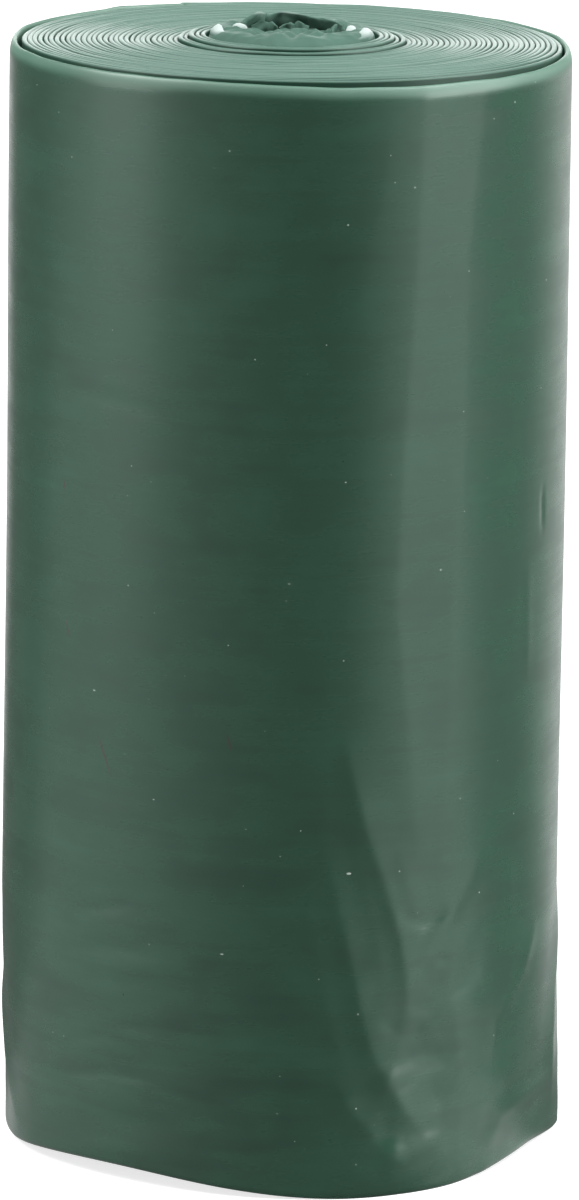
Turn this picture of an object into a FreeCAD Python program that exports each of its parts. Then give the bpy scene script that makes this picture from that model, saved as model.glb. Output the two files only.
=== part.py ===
"""Coreless roll of folded pet-waste bags, standing on its end.

One long web of perforated film bags, folded lengthwise into a narrow band, is
wound on itself with no cardboard core. The roll is a single piece of film, so
it is one solid: the wound turns, the last loose turn with its free end, the
hem that overhangs the foot, and the gathered start of the web in the middle.

Frame: +Z is the winding axis, z = 0 is the plane that the hem stands on, and
the origin is the middle of the foot. The front of the roll faces -Y.
Azimuths are in degrees, from the front (-Y) towards +X. Lengths are in mm.
"""
import FreeCAD
import Part

import math
import os

# ---- driving dimensions ------------------------------------------------------
roll_diameter = 31.0        # over the last turn, at half height
roll_length = 60.7          # foot of the hem to the rim
taper = 0.20                # the radius grows by this from the rim to the foot
web_thickness = 0.30        # one turn of the folded band, air included
turn_groove = 0.14          # depth of the valley between two turns

fold_width = 0.45           # the last turn's loosely folded edge, side to side
fold_rise = 0.80            # height over which that edge rounds off
crest_drop = 0.06           # the wound turns end this far below the last one

tail_azimuth = -156.0       # free end of the web, at the back
loose_azimuth = -118.0      # stretch where the last turn stands off the roll
loose_half_width = 38.0
loose_lift = 0.60
loose_height = 30.0         # the lift fades out this far below the rim
loose_depth = 2.2           # depth of the gap behind the loose stretch

raised_turns = 5            # the first turns were wound a little higher up
raised_height = 0.35
gather_radius = 4.6         # gathered start of the web, in the middle
gather_height = 1.20        # how far it stands above the raised turns
gather_pleats = 7
gather_pleat_depth = 0.45
hollow_radius = 2.2         # open middle of the gather, at both ends
hollow_depth = 3.0

hem_depth = 1.2             # the last turn overhangs the wound foot by this
foot_height = 15.0          # height over which the foot is pressed out of round

# Where the hem is shorter: azimuth, half width, and how much of it is missing.
hem_rises = (
    (-34.0, 52.0, 0.55),    # long stretch, front left
    (60.0, 25.0, 0.32),     # short stretch, front right
)

# Where the foot is pressed out of round: azimuth, half width, radial change.
foot_dents = (
    (24.0, 32.0, 0.40),     # bulge at the front
    (-34.0, 40.0, -0.50),   # flat, front left
    (-84.0, 20.0, -0.12),   # pinched corner, left
    (47.0, 20.0, -0.32),    # flat, front right
    (70.0, 24.0, -0.55),    # flat, right
    (98.0, 18.0, 0.34),     # pinched corner, right
    (205.0, 55.0, -0.30),   # shallow flat at the back
)

# ---- sizes worked out from them ----------------------------------------------
outer_radius = roll_diameter / 2
rim_radius = outer_radius - taper / 2
shaft_top = roll_length - fold_rise
wound_top = roll_length - crest_drop
wound_radius = rim_radius - 1.5 * web_thickness     # its edge is inside the last turn
wound_turns = round((wound_radius - gather_radius) / web_thickness)
turn_pitch = (wound_radius - gather_radius) / wound_turns
outline_step = 10.0         # degrees between the points of a skin outline
tool_margin = 1.0           # how far cutting shapes reach past what they cut


def place(radius, azimuth, height):
    """A point at a radius and an azimuth from the front, towards +X."""
    angle = math.radians(azimuth)
    return FreeCAD.Vector(radius * math.sin(angle), -radius * math.cos(angle), height)


def bump(azimuth, centre, half_width):
    """1 at the centre, falling smoothly to 0 at the half width on each side."""
    away = abs((azimuth - centre + 180.0) % 360.0 - 180.0)
    if away >= half_width:
        return 0.0
    return 0.5 * (1.0 + math.cos(math.pi * away / half_width))


def fade(distance, length):
    """1 at no distance, falling smoothly to 0 at the given length."""
    share = min(max(distance / length, 0.0), 1.0)
    return 1.0 - share * share * (3.0 - 2.0 * share)


# ---- the skin: the last turn, from the hem to the rim ------------------------
def skin_radius(azimuth, height):
    """Radius of the last turn, with its taper, its loose stretch and the foot."""
    radius = outer_radius + taper * (0.5 - height / roll_length)
    lift = loose_lift * fade(roll_length - height, loose_height)
    radius += lift * bump(azimuth, loose_azimuth, loose_half_width)
    for centre, half_width, change in foot_dents:
        radius += change * bump(azimuth, centre, half_width) * fade(height, foot_height)
    return radius


def skin_wire(height, inset):
    """The last turn at one height. It starts at the free end of the web, goes
    back round once, and ends under that end, one web thickness further in."""
    steps = round(360.0 / outline_step)
    points = []
    for step in range(steps + 1):
        azimuth = tail_azimuth - step * outline_step
        radius = skin_radius(azimuth, height) - web_thickness * step / steps
        points.append(place(radius - inset, azimuth, height))
    turn = Part.BSplineCurve()
    turn.interpolate(points)
    free_end = Part.LineSegment(points[-1], points[0])
    return Part.Wire([turn.toShape(), free_end.toShape()])


def skin_solid(levels):
    """A solid through outlines of the skin, each given as (height, inset)."""
    return Part.makeLoft([skin_wire(height, inset) for height, inset in levels], True)


def roll_body():
    """The outer form: foot, shaft and the rounded upper edge of the last turn."""
    levels = [(share * foot_height, 0.0) for share in (0.0, 0.15, 0.35, 0.6, 0.8, 1.0)]
    shaft_levels = 5
    for level in range(1, shaft_levels + 1):
        share = level / shaft_levels
        levels.append((foot_height + share * (shaft_top - foot_height), 0.0))
    edge_levels = []
    for angle in (0.0, 22.5, 45.0, 67.5, 90.0):
        turned = math.radians(angle)
        edge_levels.append((shaft_top + fold_rise * math.sin(turned),
                            fold_width * (1.0 - math.cos(turned))))
    return skin_solid(levels).fuse(skin_solid(edge_levels))


# ---- the wound turns ---------------------------------------------------------
def section_point(radius, height):
    """A point of a turned section, in the plane of X and Z."""
    return FreeCAD.Vector(radius, 0.0, height)


def wound_plate(turns, crest, base):
    """The first turns as a round plate, from its base to the crests of the turns.

    The spiral is drawn from half circles about two centres, half a pitch apart:
    each half turn meets the next one, a whole pitch further out after one round.
    A base under the crest gives turns that face up, a base over it gives turns
    that face down. The innermost turns sit a little higher than the others.
    """
    groove = math.copysign(turn_groove, crest - base)
    halves = []
    for side in (0, 1):
        radii = [gather_radius + (turn + 0.5 * side) * turn_pitch
                 for turn in range(turns + 1)]
        shift = raised_height
        outline = [Part.LineSegment(section_point(0.0, base),
                                    section_point(0.0, crest + shift - groove)),
                   Part.LineSegment(section_point(0.0, crest + shift - groove),
                                    section_point(radii[0], crest + shift - groove))]
        for turn, (inner, outer) in enumerate(zip(radii, radii[1:])):
            if turn == raised_turns:
                outline.append(Part.LineSegment(section_point(inner, crest + shift - groove),
                                                section_point(inner, crest - groove)))
                shift = 0.0
            outline.append(Part.Arc(section_point(inner, crest + shift - groove),
                                    section_point(0.5 * (inner + outer), crest + shift),
                                    section_point(outer, crest + shift - groove)))
        outline.append(Part.LineSegment(section_point(radii[-1], crest - groove),
                                        section_point(radii[-1], base)))
        outline.append(Part.LineSegment(section_point(radii[-1], base),
                                        section_point(0.0, base)))
        section = Part.Face(Part.Wire([edge.toShape() for edge in outline]))
        half = section.revolve(FreeCAD.Vector(), FreeCAD.Vector(0, 0, 1), 180.0)
        half.rotate(FreeCAD.Vector(), FreeCAD.Vector(0, 0, 1), 180.0 * (1 + side))
        half.translate(FreeCAD.Vector((0.25 - 0.5 * side) * turn_pitch, 0, 0))
        halves.append(half)
    plate = halves[0].fuse(halves[1])
    # The plate's outer end is at -X, azimuth -90: turn it in line with the web's.
    plate.rotate(FreeCAD.Vector(), FreeCAD.Vector(0, 0, 1), tail_azimuth + 90.0)
    return plate


def wound_upper_end(roll):
    """Open the roll inside its last turn and fill it with the turns' upper edges,
    which leaves the gap behind the loose stretch."""
    floor = wound_top - loose_depth
    space = skin_solid([(floor, web_thickness), (roll_length + tool_margin, web_thickness)])
    turns = wound_plate(wound_turns, wound_top, floor - tool_margin)
    return roll.cut(space).fuse(turns)


def wound_lower_end(roll):
    """Open the roll inside its hem, down to the turns' lower edges. The turns end
    at the hem, so here they are taken out of the opening before it is cut."""
    ceiling = hem_depth + tool_margin
    space = skin_solid([(-tool_margin, web_thickness), (ceiling, web_thickness)])
    spread = math.ceil((taper + web_thickness + loose_lift) / turn_pitch)
    turns = wound_plate(wound_turns + spread, hem_depth, ceiling + tool_margin)
    return roll.cut(space.cut(turns))


def short_hem(azimuth, half_width, rise):
    """What is missing where the hem is shorter: a flat arch, cut along a radius."""
    half_chord = outer_radius * math.sin(math.radians(half_width))
    arch_radius = (half_chord ** 2 + rise ** 2) / (2.0 * rise)
    start = place(0.5 * outer_radius, azimuth, rise - arch_radius)
    return Part.makeCylinder(arch_radius, outer_radius, start, place(1.0, azimuth, 0.0))


# ---- the gathered start of the web -------------------------------------------
def gather_wire(radius, lift, pleat, level):
    """One closed outline of the gather.

    Lift is the share of the lip's own height, which is lowest at the front, and
    pleat is the share of the full pleat depth.
    """
    points = []
    steps = 6 * gather_pleats
    for step in range(steps):
        azimuth = 360.0 * step / steps
        turn = math.radians(azimuth)
        lip = gather_height * (0.75 - 0.25 * math.cos(turn) + 0.06 * math.cos(3 * turn + 1.0))
        fold = math.cos(gather_pleats * turn) + 0.4 * math.sin(2 * turn + 0.7)
        points.append(place(radius - 0.5 * pleat * gather_pleat_depth * (1.0 - fold),
                            azimuth, level + lift * lip))
    outline = Part.BSplineCurve()
    outline.interpolate(points, PeriodicFlag=True)
    return Part.Wire([outline.toShape()])


def gather():
    """The crumpled start: up the outside, over the lip, down to the hollow."""
    crest = wound_top + raised_height
    middle = 0.5 * (gather_radius + hollow_radius)
    return Part.makeLoft([
        gather_wire(gather_radius, 0.0, 0.0, crest - tool_margin),
        gather_wire(gather_radius, 0.0, 0.1, crest - turn_groove),
        gather_wire(gather_radius - 0.05, 0.45, 0.3, crest),
        gather_wire(gather_radius - 0.35, 0.85, 0.5, crest),
        gather_wire(middle + 0.2, 1.0, 0.7, crest),
        gather_wire(middle - 0.5, 0.9, 0.9, crest),
        gather_wire(hollow_radius + 0.1, 0.5, 1.0, crest),
        gather_wire(hollow_radius, 0.0, 1.0, crest + 0.1),
    ], True)


def gather_hollow(mouth, mouth_radius, inward):
    """The hollow in the middle of the gather, from its mouth into the roll."""
    return Part.makeLoft([
        gather_wire(mouth_radius, 0.0, 0.8, mouth - inward * tool_margin),
        gather_wire(mouth_radius, 0.0, 0.9, mouth),
        gather_wire(0.5 * (mouth_radius + hollow_radius) - 0.3, 0.0, 1.0,
                    mouth + 0.3 * inward * hollow_depth),
        gather_wire(hollow_radius - 0.6, 0.0, 1.0, mouth + inward * hollow_depth),
    ], True)


# ---- the roll ----------------------------------------------------------------
def bag_roll():
    """The whole roll as one solid, on its foot."""
    roll = roll_body()
    roll = wound_upper_end(roll)
    roll = wound_lower_end(roll)
    for azimuth, half_width, rise in hem_rises:
        roll = roll.cut(short_hem(azimuth, half_width, rise))
    roll = roll.fuse(gather())
    roll = roll.cut(gather_hollow(wound_top + raised_height, hollow_radius - 0.2, -1.0))
    roll = roll.cut(gather_hollow(hem_depth + raised_height, gather_radius - 0.5, 1.0))
    return roll.removeSplitter()


def main():
    roll = bag_roll()
    solids = roll.Solids
    if len(solids) != 1 or not solids[0].isValid():
        raise ValueError("the roll must be one sound solid, found %d" % len(solids))
    os.makedirs("parts", exist_ok=True)
    solids[0].exportStep("parts/bag_roll.step")
    print("roll: %.1f mm over the last turn, %.1f mm long, %.1f cm3, %d turns, %d faces"
          % (roll_diameter, roll_length, roll.Volume / 1000.0, wound_turns, len(roll.Faces)))


main()
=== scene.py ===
# %% [markdown]
# # A roll of pet-waste bags
#
# The object is one long web of thin dark green film, folded lengthwise to a
# band and wound on itself until it is a small cylinder. It has no cardboard
# tube: the web starts as a crumpled gather in the middle. We rebuild what the
# hand and the eye meet: the last turn with its creases, the edges of all the
# turns at both ends, and the gather.
#
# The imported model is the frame: it gives the size and the place, and every
# piece below stands in for its one solid.

# %% Load the frame
import math

import bpy
import numpy as np
from mathutils import Matrix, Vector


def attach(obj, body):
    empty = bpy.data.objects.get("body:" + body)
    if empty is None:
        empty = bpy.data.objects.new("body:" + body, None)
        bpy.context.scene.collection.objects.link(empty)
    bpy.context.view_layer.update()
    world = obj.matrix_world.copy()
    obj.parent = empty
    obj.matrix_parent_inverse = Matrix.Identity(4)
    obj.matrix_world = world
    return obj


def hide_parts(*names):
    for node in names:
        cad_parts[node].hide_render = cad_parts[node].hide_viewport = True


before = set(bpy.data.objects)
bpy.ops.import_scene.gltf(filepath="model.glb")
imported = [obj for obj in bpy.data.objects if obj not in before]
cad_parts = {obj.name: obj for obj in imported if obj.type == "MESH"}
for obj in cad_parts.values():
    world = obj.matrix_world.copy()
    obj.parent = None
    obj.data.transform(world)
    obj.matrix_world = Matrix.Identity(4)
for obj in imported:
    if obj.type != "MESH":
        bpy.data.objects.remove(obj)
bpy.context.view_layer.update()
MM = 0.001

# %% [markdown]
# ## The sizes everything shares
#
# The roll was measured once, so its sizes get names here and every piece reads
# them. Lengths are in millimetres while we reason about shape; they become
# metres only when a mesh is made. Azimuths are degrees from the front, towards
# the right, so that "the loose stretch at -114" means back left.

# %% The roll's own sizes
roll_height = 60.7          # foot to rim
roll_radius = 15.5          # over the last turn, half way up
taper = 0.20                # the foot's radius is this much larger than the rim's
wall = 0.30                 # one turn of the folded band
fold_rise = 0.85            # the last turn's upper edge rounds over in this height
fold_width = 0.42           # and this wide, because it is folded loosely
tail_azimuth = -156.0       # where the web ends, at the back
loose_azimuth = -114.0      # where the last turn stands off the roll
loose_gap = 0.46            # by this much, at the rim
turns_top = 60.82           # the wound turns end a little above the last one
raised_height = 0.16        # the first turns rise by this in each of two steps
first_radius = 4.75         # the wound turns start here, round the gather
hem_depth = 1.2             # the last turn hangs this far below the wound turns
degree = math.radians(1.0) * roll_radius    # one degree, in mm along the film


def radius_at(height):
    """The last turn's outer radius, before any crease."""
    return roll_radius + taper * (0.5 - height / roll_height)


last_radius = radius_at(roll_height) - fold_width - wall        # the wound turns end here
print("radius at the foot and the rim, mm:", radius_at(0.0), radius_at(roll_height))

# %% [markdown]
# ## How tight film bends
#
# Film that is wound tight can't stretch, so it answers a squeeze with flats and
# long straight folds. Everything that moves the last turn in or out is added up
# in one function. We could push vertices by hand or sculpt them, but a few
# named shapes are easier to place and to move. The first two are building
# blocks: a soft bump round the roll, and a fade along a length.

# %% Soft shapes that the bends are built from
def away_from(azimuth, centre):
    """Degrees from the centre, from -180 to 180."""
    return (azimuth - centre + 180.0) % 360.0 - 180.0


def bump(azimuth, centre, half_width):
    """1 at the centre, falling smoothly to 0 at the half width on each side."""
    share = np.clip(np.abs(away_from(azimuth, centre)) / half_width, 0.0, 1.0)
    return 0.5 + 0.5 * np.cos(np.pi * share)


def fade(distance, length):
    """1 at no distance, falling smoothly to 0 at the given length."""
    share = np.clip(distance / length, 0.0, 1.0)
    return 1.0 - share * share * (3.0 - 2.0 * share)


print("a bump at its centre, half way out and at its edge:",
      [round(float(bump(azimuth, 0.0, 30.0)), 2) for azimuth in (0.0, 15.0, 30.0)])

# %% [markdown]
# A fold in film is a line with a sharp crest. Each of its flanks is steep at the
# crest and runs out flat, and the two can be of different width. The line bends
# a little, so it is given as a path of points, each an azimuth and a height. A
# path runs down or to the right. Its first width is the flank on the left of it
# or below it, and its second width the flank on the right or above.

# %% One fold in the film
def fold(azimuth, height, path, lift, left, right, soften=0.12, tip=0.3):
    """A fold along a path, in mm. A negative lift makes a valley.

    The crest is rounded over the length soften, and the tip is the share of the
    path in which the fold grows to its full height at either end.
    """
    x = away_from(azimuth, path[0][0]) * degree
    nearest = np.full(np.shape(x), np.inf)
    beside, along = np.zeros_like(nearest), np.zeros_like(nearest)
    done = 0.0
    spots = [(away_from(a, path[0][0]) * degree, z) for a, z in path]
    for (x0, z0), (x1, z1) in zip(spots[:-1], spots[1:]):
        dx, dz = x1 - x0, z1 - z0
        length = math.hypot(dx, dz)
        share = np.clip(((x - x0) * dx + (height - z0) * dz) / length ** 2, 0.0, 1.0)
        away = np.hypot(x - x0 - share * dx, height - z0 - share * dz)
        closer = away < nearest
        side = (height - z0) * dx - (x - x0) * dz
        beside = np.where(closer, np.where(side < 0.0, -away, away), beside)
        along = np.where(closer, done + share * length, along)
        nearest = np.minimum(nearest, away)
        done += length
    width = np.where(beside < 0.0, left, right)
    share = np.clip((np.sqrt(beside ** 2 + soften ** 2) - soften) / width, 0.0, 1.0)
    run = np.clip(np.minimum(along, done - along) / (tip * done), 0.0, 1.0)
    return lift * (1.0 - share) ** 2 * np.sin(0.5 * np.pi * run)


print("a ridge of 0.10 mm on its crest and 0.5 mm beside it:",
      [round(float(fold(x / degree, 5.0, ((0.0, 10.0), (0.0, 0.0)), 0.10, 1.0, 1.0)), 3)
       for x in (0.0, 0.5)])


# %% [markdown]
# ### The folds of this roll
#
# The foot was squeezed, so the film above it buckled: two long folds come down
# from the left, a third crosses below them, and they meet in a V at the front
# right. Short cross folds lie between them like rungs. Round the left side run
# low ripples, and at both lower corners the film is pinched to a ridge.

# %% The table of folds: path, lift, left width, right width
foot_folds = (
    (((12.0, 26.0), (17.0, 20.8), (21.5, 17.4), (25.3, 14.3), (27.5, 11.0), (28.5, 8.6)),
     0.13, 1.4, 2.1),
    (((8.0, 20.5), (11.0, 17.0), (14.2, 13.6), (16.4, 11.0), (18.6, 8.6), (23.0, 6.2),
      (28.5, 4.1), (34.5, 1.8)), 0.11, 1.3, 2.0),
    (((10.0, 6.9), (15.0, 5.0), (21.0, 2.9), (29.0, 1.0)), 0.08, 1.6, 1.2),
    (((42.0, 7.4), (38.5, 5.0), (36.0, 3.0), (33.5, 0.9)), 0.05, 1.3, 1.6),
    (((13.5, 21.5), (17.0, 17.8), (20.0, 14.8), (22.0, 12.0), (22.8, 9.5)), 0.03, 1.0, 1.1),
    (((24.5, 19.5), (27.5, 16.5), (30.0, 13.8)), 0.03, 0.9, 1.1),
    (((5.0, 17.0), (8.5, 13.0), (11.5, 9.0), (15.0, 6.4)), 0.04, 1.0, 1.0),
)
cross_folds = (
    (((30.0, 12.6), (33.0, 14.0), (37.0, 15.0), (40.5, 16.3), (46.0, 18.5)), 0.07, 0.9, 1.2),
    (((25.0, 15.6), (31.0, 14.9), (37.0, 15.5)), -0.08, 0.9, 0.8),
    (((29.0, 12.0), (33.5, 12.9), (38.0, 12.6)), -0.07, 0.7, 0.8),
    (((27.0, 10.4), (33.0, 10.0), (39.0, 10.9), (46.0, 11.6)), -0.08, 0.9, 0.9),
    (((20.5, 9.9), (26.0, 8.9), (32.0, 9.2)), -0.03, 0.8, 0.8),
    (((24.0, 7.4), (31.0, 7.8), (36.0, 7.1), (42.0, 7.9)), -0.02, 0.9, 0.9),
    (((30.0, 5.6), (36.0, 5.0), (41.0, 5.6)), -0.012, 0.8, 0.8),
    (((29.0, 8.4), (34.5, 9.2), (40.0, 9.3)), 0.015, 0.6, 0.6),
    (((49.0, 6.0), (50.5, 8.5), (53.5, 9.4), (60.5, 11.0), (66.0, 13.5)), 0.09, 1.1, 1.0),
    (((54.0, 17.6), (54.4, 13.8)), 0.04, 0.5, 0.9),
)
side_ripples = (
    (((-54.0, 5.2), (-38.0, 6.0), (-28.0, 6.0), (-16.0, 5.2), (-4.0, 4.4)), -0.06, 0.6, 0.6),
    (((-60.0, 6.9), (-47.0, 7.3), (-38.0, 8.1), (-24.0, 7.2)), -0.045, 0.6, 0.6),
    (((-62.0, 3.0), (-48.0, 3.9), (-36.0, 3.4)), -0.05, 0.6, 0.6),
    (((-38.0, 8.7), (-24.0, 9.1), (-10.0, 8.7), (2.0, 9.3)), -0.035, 0.6, 0.6),
    (((-57.0, 14.8), (-44.0, 14.9), (-30.0, 15.7)), -0.035, 0.6, 0.6),
    (((-64.0, 10.6), (-42.0, 11.0), (-28.0, 11.5), (-14.0, 11.1)), -0.035, 0.6, 0.6),
    (((-50.0, 12.6), (-36.0, 13.2), (-20.0, 12.8)), -0.022, 0.6, 0.6),
    (((-20.0, 2.6), (-8.0, 2.2), (4.0, 2.7)), -0.035, 0.6, 0.6),
    (((-55.0, 43.6), (-30.0, 43.0), (-6.0, 42.6), (6.0, 42.9)), -0.022, 0.4, 0.4),
)
pinched_corners = (
    (((-96.0, 9.0), (-88.0, 6.3), (-78.0, 4.0), (-70.0, 1.8), (-66.0, 0.5)), 0.14, 2.2, 1.6),
    (((88.0, 14.0), (83.0, 8.6), (83.0, 4.0), (85.0, 1.0)), 0.16, 2.2, 1.8),
    (((48.0, 1.3), (54.0, 2.9), (64.0, 3.4), (74.0, 3.4), (84.0, 3.0)), 0.14, 1.6, 1.3),
)
shaft_marks = (
    (((65.4, 37.6), (65.9, 35.2)), -0.07, 0.35, 0.35),
    (((59.5, 34.0), (60.0, 27.0)), 0.03, 0.8, 0.8),
    (((21.0, 59.5), (19.0, 54.5), (16.0, 52.0), (12.0, 46.0)), 0.02, 2.5, 2.5),
)
back_folds = (
    (((168.0, 56.0), (163.0, 40.0), (166.0, 24.0), (172.0, 9.0)), 0.07, 3.0, 4.0),
    (((128.0, 30.0), (133.0, 16.0), (141.0, 4.0)), 0.10, 2.0, 3.0),
    (((-170.0, 18.0), (-176.0, 9.0), (176.0, 2.5)), 0.10, 2.0, 2.6),
    (((-128.0, 22.0), (-134.0, 11.0), (-144.0, 3.0)), 0.10, 2.2, 1.8),
)
all_folds = foot_folds + cross_folds + side_ripples + pinched_corners + shaft_marks + back_folds
print(len(all_folds), "folds")

# %% [markdown]
# ### Flats, bulges and a slack stretch
#
# At the front right the film is pulled straight between two long soft edges, so
# a flat a few millimetres wide runs down the roll. It narrows above the foot,
# where the folds are, and opens again below them. The foot is pressed out of
# round, and at the back left the last turn has come loose and stands off.

# %% What else moves the film
flat_heights = (0.0, 8.0, 14.0, 20.0, 26.0, 32.6, 42.0, 51.0, 60.7)
flat_left = (24.0, 25.5, 29.0, 29.0, 26.5, 23.5, 25.0, 27.0, 28.3)
flat_right = (40.0, 40.5, 36.0, 34.5, 36.6, 37.0, 38.7, 38.6, 43.0)
flat_pull = (0.7, 0.8, 0.9, 0.9, 1.0, 1.0, 1.0, 0.85, 0.5)      # 1 is wholly flat
edge_softness = 0.015           # 0 would leave a sharp line at both edges


def long_flat(azimuth, height):
    """The flat between its two edges, as the chord of the round it replaces."""
    left = np.interp(height, flat_heights, flat_left)
    right = np.interp(height, flat_heights, flat_right)
    half = 0.5 * (right - left)
    share = away_from(azimuth, left + half) / half
    inside = 1.0 - share ** 2
    inside = 0.5 * (inside + np.sqrt(inside ** 2 + edge_softness))
    pull = np.interp(height, flat_heights, flat_pull)
    return -pull * roll_radius * (1.0 - np.cos(np.radians(half))) * inside


foot_dents = (          # azimuth, half width, depth, height
    (24.0, 32.0, 0.40, 8.0), (-34.0, 40.0, -0.50, 13.0), (-84.0, 24.0, -0.36, 15.0),
    (47.0, 20.0, -0.27, 7.0), (70.0, 24.0, -0.55, 14.0), (98.0, 18.0, 0.34, 15.0),
    (205.0, 55.0, -0.30, 15.0))


def foot_press(azimuth, height):
    """How far the foot is pressed in or out of round."""
    return sum(depth * bump(azimuth, centre, half) * fade(height, tall)
               for centre, half, depth, tall in foot_dents)


def loose_lift(azimuth, height):
    """How far the last turn stands off the roll at the back left."""
    stretch = bump(azimuth, loose_azimuth, 30.0)
    return loose_gap * stretch * fade(roll_height - height, 30.0)


print("the flat moves the film by", round(float(long_flat(30.25, 32.6)), 2), "mm,",
      "the slack stretch by", round(float(loose_lift(loose_azimuth, roll_height)), 2), "mm")


# %% [markdown]
# No wound film is perfectly even, so a sum of long waves moves it by a few
# hundredths of a millimetre. The waves come from a seeded generator and are the
# same at each run. They repeat a whole number of times round the roll, which
# keeps them closed where the turn meets itself.

# %% Long waves
def waves(azimuth, height, seed, count, around, up, size):
    """A sum of long waves. around: times round the roll; up: waves per mm."""
    draw = np.random.default_rng(seed)
    total = 0.0
    for _ in range(count):
        times = draw.integers(around[0], around[1] + 1)
        rate = draw.uniform(*up) * draw.choice((-1.0, 1.0))
        total = total + np.sin(np.radians(azimuth) * times + 2 * np.pi * rate * height
                               + draw.uniform(0.0, 2 * np.pi))
    return size * total / math.sqrt(count)


long_waves = dict(seed=4, count=9, around=(2, 9), up=(0.0, 0.03), size=0.022)
ripples = dict(seed=8, count=12, around=(1, 9), up=(0.22, 0.6), size=0.011)
print("the long waves at the front, half way up:",
      round(float(waves(0.0, 30.0, **long_waves)), 3), "mm")

# %% [markdown]
# Between the folds of the foot the film is crumpled: flat facets that meet in
# faint sharp lines. A sum of triangle waves in mixed directions gives just
# that, where a smooth noise would give soft lumps, as in dough.

# %% Crumpled facets
def crumple(x, y, z, seed, size, length, count=6):
    """Facets with sharp folds, from about -size to size. length: from fold to fold."""
    draw = np.random.default_rng(seed)
    total = 0.0
    for _ in range(count):
        way = draw.normal(size=3)
        way = way / np.linalg.norm(way) / (length * draw.uniform(0.7, 1.6))
        phase = (x * way[0] + y * way[1] + z * way[2] + draw.uniform()) % 1.0
        total = total + (4.0 * np.abs(phase - 0.5) - 1.0)
    return size * total / math.sqrt(count)


large_facets = dict(seed=17, size=0.080, length=4.0)
small_facets = dict(seed=19, size=0.022, length=1.7)
print("the large facets, 9 mm right of the front:",
      round(float(crumple(9.0, 10.0, 0.0, **large_facets)), 3), "mm")


# %% The sum of it all
def skin_shift(azimuth, height):
    """Everything that moves the last turn in or out, in mm."""
    shift = foot_press(azimuth, height) + loose_lift(azimuth, height)
    shift = shift + long_flat(azimuth, height)
    for path, lift, left, right in all_folds:
        shift = shift + fold(azimuth, height, path, lift, left, right)
    shift = shift + waves(azimuth, height, **long_waves)
    low, more_at_left = fade(height, 28.0), 1.0 + bump(azimuth, -35.0, 60.0)
    shift = shift + waves(azimuth, height, **ripples) * low * more_at_left
    along = away_from(azimuth, 0.0) * degree
    facets = (crumple(along, height, 0.0, **large_facets)
              + crumple(along, height, 0.0, **small_facets))
    front_right, near_foot = bump(azimuth, 33.0, 34.0), fade(height - 3.0, 20.0)
    return shift + facets * front_right * near_foot


print("film at the front, half way up, moves by",
      round(float(skin_shift(np.array([0.0]), np.array([30.0]))[0]), 3), "mm")

# %% [markdown]
# ## The last turn
#
# This is the film that the hand holds: a band that starts at its free end at
# the back, goes round once and ends under that free end. It is one closed
# strip. A loop of points runs up the outside, over the rounded folded edge and
# down the inside, and the loop is repeated at each step round the roll. Steps
# are fine at the front, where the folds are, and coarse where the film is
# plain. The free end was torn along a perforation, so it is thin and toothed.
# Faces have to look outward, and the volume they enclose tells: it is negative
# where they look into the film.

# %% Closed strips
def strip(columns):
    """Points and faces of a closed strip: one loop of points for each column."""
    points = np.stack(columns)
    count, ring = points.shape[:2]
    faces = []
    for c in range(count - 1):
        a, b = c * ring, (c + 1) * ring
        for r in range(ring):
            s = (r + 1) % ring
            faces.append((a + r, b + r, b + s, a + s))
    faces.append(tuple(range(ring)))
    faces.append(tuple(reversed(range((count - 1) * ring, count * ring))))
    return points.reshape(-1, 3), faces


def outward(points, faces):
    """The same faces, turned round where they would look into the film."""
    fans = np.array([(face[0], b, c) for face in faces for b, c in zip(face[1:-1], face[2:])])
    a, b, c = (points[fans[:, corner]] for corner in range(3))
    inside_out = np.einsum("ij,ij->", a, np.cross(b, c)) < 0.0
    return [face[::-1] for face in faces] if inside_out else faces


def piece_from(name, parts):
    """One object from several closed parts, in metres, smooth shaded."""
    points, faces, start = [], [], 0
    for part_points, part_faces in parts:
        points.extend((part_points * MM).tolist())
        faces.extend(tuple(start + v for v in face) for face in outward(part_points, part_faces))
        start += len(part_points)
    mesh = bpy.data.meshes.new(name)
    mesh.from_pydata(points, [], faces)
    mesh.shade_smooth()
    piece = bpy.data.objects.new(name, mesh)
    bpy.context.collection.objects.link(piece)
    return piece


def mark_thin_and_lit(piece, share):
    """Notes on each point how thin the film is there and how much painted light it carries: 0 is
    many layers, 1 is one fold or full painted light.
    """
    note = piece.data.attributes.new("thin_and_lit_share", "FLOAT", "POINT")
    note.data.foreach_set("value", np.asarray(share, float).ravel())


def triangles(piece):
    return sum(len(face.vertices) - 2 for face in piece.data.polygons)


print("helpers for closed strips ready")

# %% The rim and the hem are not quite level
def rim_shift(azimuth):
    """How far the rim is above its nominal height."""
    lifted = 0.13 * bump(azimuth, -145.0, 35.0) + 0.07 * bump(azimuth, -140.0, 5.0)
    azimuth = away_from(azimuth, 0.0)
    sunk = 0.24 * (1.0 - fade(azimuth + 22.0, 44.0)) * fade(azimuth - 60.0, 50.0)
    uneven = waves(azimuth, 0.0, seed=12, count=6, around=(5, 30), up=(0, 0), size=0.015)
    return lifted - sunk + uneven


def hem_shift(azimuth):
    """How far the hem is above the floor: two short stretches."""
    return 0.85 * bump(azimuth, -38.0, 56.0) + 0.48 * bump(azimuth, 66.0, 30.0)


print("rim at the free end and at the right:",
      [round(float(rim_shift(azimuth)), 2) for azimuth in (-140.0, 60.0)], "mm")

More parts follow.
